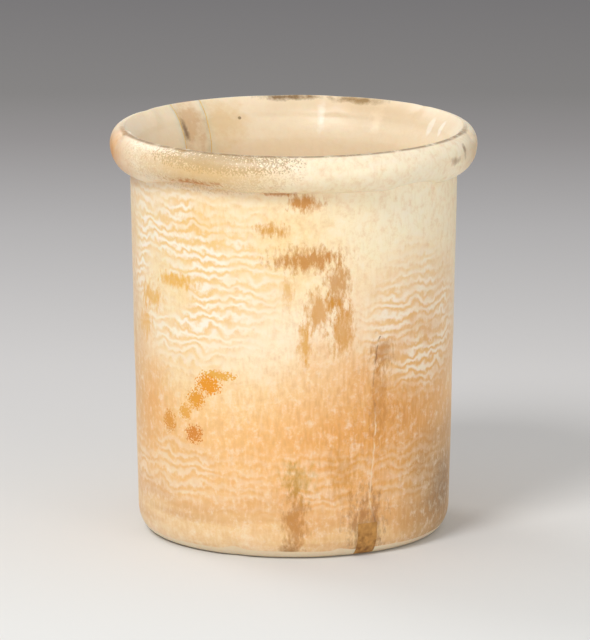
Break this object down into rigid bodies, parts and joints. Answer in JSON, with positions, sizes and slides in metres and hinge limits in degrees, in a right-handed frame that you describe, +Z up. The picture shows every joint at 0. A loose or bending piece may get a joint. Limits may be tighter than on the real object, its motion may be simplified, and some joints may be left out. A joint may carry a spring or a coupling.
{
  "type": "stone drinking cup",
  "caption": "Handleless round stone cup with a rolled rim, slightly tapered wall and flat foot, open at the top, with a mended mouth and foot.",
  "frame": {"origin": "middle of the flat face that the cup stands on", "axes": "+Z up along the axis of the cup, -Y towards the viewer of the picture, +X to the viewer's right"},
  "size_m": [0.084, 0.084, 0.0935],
  "materials": {
    "alabaster": "polished banded alabaster",
    "alabaster_fragment": "polished alabaster, stained",
    "fill": "matt filler"
  },
  "bodies": {
    "root": {"cup_body": "alabaster", "mouth_fragment": "alabaster_fragment", "foot_fill": "fill"}
  },
  "joints": []
}
